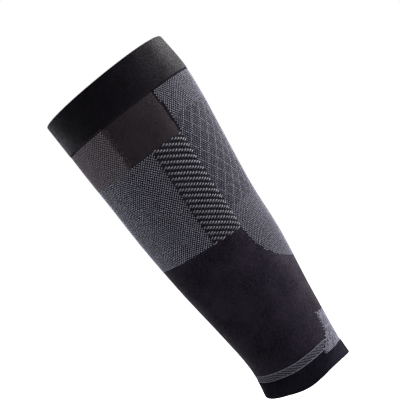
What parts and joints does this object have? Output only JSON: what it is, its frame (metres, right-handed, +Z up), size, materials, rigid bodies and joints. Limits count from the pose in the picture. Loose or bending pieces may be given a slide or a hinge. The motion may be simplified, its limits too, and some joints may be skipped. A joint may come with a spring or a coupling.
{
  "type": "calf sleeve",
  "caption": "Knitted compression sleeve for the calf: a tapering open tube in zones of plain knit, mesh and slanting ribs, with a wide top cuff and a narrow ankle hem.",
  "frame": {"origin": "on the leg's axis at the calf's fullest section, 40 mm below the top edge", "axes": "+Z up the leg towards the knee, -Y towards the shin, +Y towards the calf, +X towards the wearer's left"},
  "size_m": [0.114, 0.129, 0.3242],
  "materials": {
    "black_knit": "matt fine knit with a soft sheen",
    "charcoal_mesh": "fine open mesh knit",
    "slate_mesh": "two-yarn knit, slate stitches on black",
    "grey_mesh": "two-yarn lattice knit, grey stitches on black"
  },
  "bodies": {
    "root": {"top_cuff": "black_knit", "vent_panel": "charcoal_mesh", "upper_side_left": "black_knit", "upper_side_right": "black_knit", "shin_panel": "slate_mesh", "rib_panel_left": "slate_mesh", "rib_panel_right": "slate_mesh", "calf_panel": "grey_mesh", "lower_leg": "black_knit", "ankle_band": "slate_mesh", "achilles_panel": "grey_mesh", "bottom_cuff": "black_knit"}
  },
  "joints": []
}
